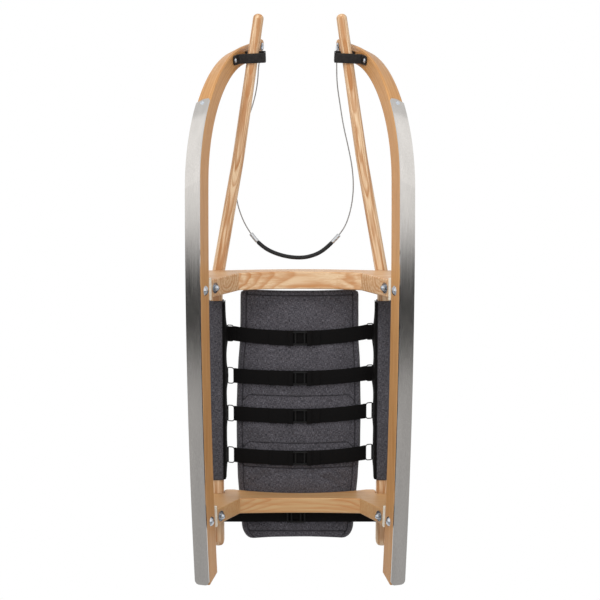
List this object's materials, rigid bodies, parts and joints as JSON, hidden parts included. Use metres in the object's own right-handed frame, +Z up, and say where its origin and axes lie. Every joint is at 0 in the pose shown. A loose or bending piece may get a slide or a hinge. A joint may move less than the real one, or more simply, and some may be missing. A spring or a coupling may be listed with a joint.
{
  "type": "luge sled",
  "caption": "Wooden touring luge with upswept canted runners, steel rails, carved bridges, side stringers, a quilted seat mat on webbing straps and a pull cable with a hose grip.",
  "frame": {"origin": "centre of the whole sled's bounding box, on the ground plane under the rails", "axes": "+Z up as it stands on its runners, -Y the front where the horns curl up, +X across to the seated rider's left"},
  "size_m": [0.4324, 1.1034, 0.3269],
  "materials": {
    "runner_wood": "satin varnish over ash",
    "bridge_wood": "satin varnish over laminated ash",
    "stringer_wood": "pale satin varnish over ash",
    "rail_steel": "dull, ground lengthwise",
    "zinc_steel": "bright zinc",
    "pale_plastic": "matt",
    "black_leather": "matt, grained",
    "cable_steel": "stranded wire",
    "black_rubber": "matt",
    "bright_aluminium": "bright, crimped",
    "melange_fabric": "flecked grey knit",
    "quilted_fabric": "flecked grey, quilted",
    "black_webbing": "woven band",
    "black_plastic": "matt",
    "black_metal": "satin black"
  },
  "bodies": {
    "root": {"runner_left": "runner_wood", "runner_right": "runner_wood", "rail_left": "rail_steel", "rail_right": "rail_steel", "rail_screws": "zinc_steel", "front_bridge": "bridge_wood", "rear_bridge": "bridge_wood", "stringer_left": "stringer_wood", "stringer_right": "stringer_wood", "stringer_screws": "zinc_steel", "front_leg_pads": "pale_plastic", "rear_leg_pads": "pale_plastic", "front_link_plates": "zinc_steel", "rear_link_plates": "zinc_steel", "front_leg_bolts": "zinc_steel", "rear_leg_bolts": "zinc_steel", "front_runner_bolts": "zinc_steel", "rear_runner_bolts": "zinc_steel", "leather_loop_left": "black_leather", "leather_loop_right": "black_leather", "loop_screws": "zinc_steel", "cable_anchor_left": "zinc_steel", "cable_anchor_right": "zinc_steel", "pull_cable": "cable_steel", "hose_grip": "black_rubber", "ferrule_left": "bright_aluminium", "ferrule_right": "bright_aluminium", "sleeve_left": "melange_fabric", "sleeve_right": "melange_fabric", "sleeve_tape_left": "black_webbing", "sleeve_tape_right": "black_webbing", "seat_mat": "quilted_fabric", "seat_strap_1": "black_webbing", "strap_buckle_1": "black_plastic", "seat_strap_2": "black_webbing", "strap_buckle_2": "black_plastic", "seat_strap_3": "black_webbing", "strap_buckle_3": "black_plastic", "seat_strap_4": "black_webbing", "strap_buckle_4": "black_plastic", "seat_strap_rear": "black_webbing", "strap_buckle_rear": "black_plastic", "strap_rings_left": "black_metal", "strap_rings_right": "black_metal"}
  },
  "joints": []
}
